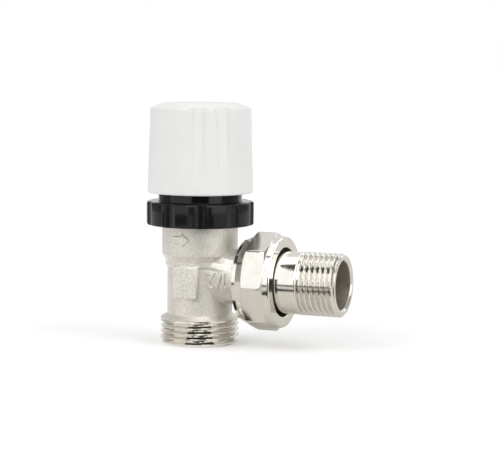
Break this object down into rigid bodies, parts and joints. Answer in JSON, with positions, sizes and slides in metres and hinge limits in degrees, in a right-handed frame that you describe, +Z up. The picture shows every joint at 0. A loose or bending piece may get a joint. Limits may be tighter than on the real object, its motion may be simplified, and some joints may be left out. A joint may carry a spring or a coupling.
{
  "type": "angled radiator valve",
  "caption": "Angled radiator valve: nickel-plated body with a threaded inlet below, a union nut and threaded tailpiece to the side, and a white handwheel on a black ring on top.",
  "frame": {"origin": "centre of the inlet's end face, on the stem axis", "axes": "+Z up the stem axis towards the handwheel, +X along the outlet axis towards the radiator"},
  "size_m": [0.0692, 0.036, 0.0807],
  "materials": {
    "nickel_blasted": "nickel plate over a blasted brass forging",
    "nickel_bright": "bright nickel plate over turned brass",
    "plain_brass": "turned brass",
    "stainless": "drawn stainless steel",
    "seal_rubber": "moulded rubber",
    "black_plastic": "glossy moulded plastic",
    "natural_plastic": "moulded plastic",
    "white_plastic": "satin moulded plastic"
  },
  "bodies": {
    "valve": {"valve_body": "nickel_blasted", "bonnet": "plain_brass", "bonnet_seal": "seal_rubber", "gland_nut": "plain_brass", "gland_washer": "stainless", "gland_seal": "seal_rubber", "return_spring": "stainless"},
    "stem": {"pressure_pin": "stainless", "valve_stem": "stainless", "spring_washer": "stainless", "stem_clip": "stainless", "disc_holder": "plain_brass", "disc_seal": "seal_rubber", "disc_nut": "plain_brass"},
    "tail": {"tailpiece": "nickel_bright", "tailpiece_seal": "seal_rubber"},
    "nut": {"union_nut": "nickel_bright"},
    "head": {"retaining_ring": "stainless"},
    "ring": {"adapter_ring": "black_plastic"},
    "plug": {"thrust_plug": "natural_plastic"},
    "wheel": {"handwheel": "white_plastic"}
  },
  "joints": [
    {"name": "stem_slide", "type": "slide", "parent": "valve", "child": "stem", "axis": [0, 0, 1], "range_m": [-0.00225, 0], "deforming": ["return_spring"]},
    {"name": "union_travel", "type": "slide", "parent": "valve", "child": "tail", "axis": [1, 0, 0], "range_m": [0, 0.00635]},
    {"name": "union_nut_turn", "type": "hinge", "parent": "tail", "child": "nut", "pos_m": [0.0242, 0, 0.022], "axis": [1, 0, 0], "range_deg": [0, 1260]},
    {"name": "head_lift", "type": "slide", "parent": "valve", "child": "head", "axis": [0, 0, 1], "range_m": [0, 0.0045]},
    {"name": "adapter_ring_turn", "type": "hinge", "parent": "head", "child": "ring", "pos_m": [0, 0, 0.044], "axis": [0, 0, 1], "range_deg": [0, 1080]},
    {"name": "handwheel_travel", "type": "slide", "parent": "head", "child": "plug", "axis": [0, 0, 1], "range_m": [-0.00225, 0]},
    {"name": "handwheel_turn", "type": "hinge", "parent": "plug", "child": "wheel", "pos_m": [0, 0, 0.066], "axis": [0, 0, 1], "range_deg": [-540, 0]}
  ],
  "couplings": [
    {"joint": "stem_slide", "follows": "handwheel_turn", "m_per_rad": 0.0002387},
    {"joint": "handwheel_travel", "follows": "handwheel_turn", "m_per_rad": 0.0002387},
    {"joint": "head_lift", "follows": "adapter_ring_turn", "m_per_rad": 0.0002387},
    {"joint": "union_travel", "follows": "union_nut_turn", "m_per_rad": 0.0002887}
  ]
}
